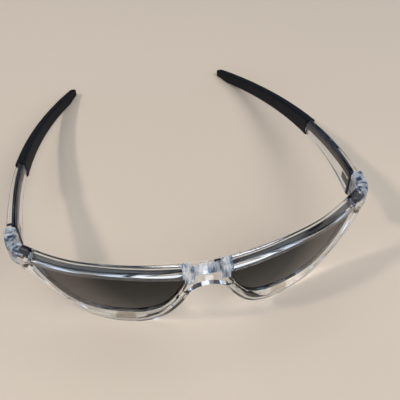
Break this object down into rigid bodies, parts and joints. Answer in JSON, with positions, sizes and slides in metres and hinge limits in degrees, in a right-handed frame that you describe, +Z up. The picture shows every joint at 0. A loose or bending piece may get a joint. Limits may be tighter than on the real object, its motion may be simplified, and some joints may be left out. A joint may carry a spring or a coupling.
{
  "type": "sunglasses",
  "caption": "Full-rim wrap sunglasses with a clear plastic front, tinted polarized lenses, metal hinges and folding clear arms that end in black rubber sleeves.",
  "frame": {"origin": "on the table, in the middle of the bounding box's width and depth", "axes": "+Z up, the front faces -Y, the arms run back along +Y, +X is the wearer's left"},
  "size_m": [0.1422, 0.1656, 0.0389],
  "materials": {
    "clear_plastic": "clear polished plastic",
    "clear_plastic_arm": "clear polished plastic",
    "frosted_plastic": "clear plastic with a frosted inside",
    "clear_rubber": "soft clear rubber",
    "lens_tint": "polished grey-brown tint",
    "steel": "dark plated steel",
    "black_rubber": "matte black rubber"
  },
  "bodies": {
    "front": {"front_frame": "clear_plastic", "left_lens": "lens_tint", "right_lens": "lens_tint", "left_nose_pad": "clear_rubber", "right_nose_pad": "clear_rubber", "left_lug": "frosted_plastic", "right_lug": "frosted_plastic", "left_lug_dowels": "steel", "right_lug_dowels": "steel", "left_lug_hinge": "steel", "right_lug_hinge": "steel", "left_lug_rivets": "steel", "right_lug_rivets": "steel", "left_hinge_screw": "steel", "right_hinge_screw": "steel"},
    "left_temple": {"left_arm": "clear_plastic_arm", "left_arm_hinge": "steel", "left_arm_rivets": "steel", "left_arm_strip": "steel", "left_sleeve": "black_rubber"},
    "right_temple": {"right_arm": "clear_plastic_arm", "right_arm_hinge": "steel", "right_arm_rivets": "steel", "right_arm_strip": "steel", "right_sleeve": "black_rubber"}
  },
  "joints": [
    {"name": "left_temple_fold", "type": "hinge", "parent": "front", "child": "left_temple", "pos_m": [0.0671, -0.04802, 0.0316], "axis": [0, 0, 1], "range_deg": [0, 86]},
    {"name": "right_temple_fold", "type": "hinge", "parent": "front", "child": "right_temple", "pos_m": [-0.0671, -0.04802, 0.0316], "axis": [0, 0, -1], "range_deg": [0, 78]}
  ]
}
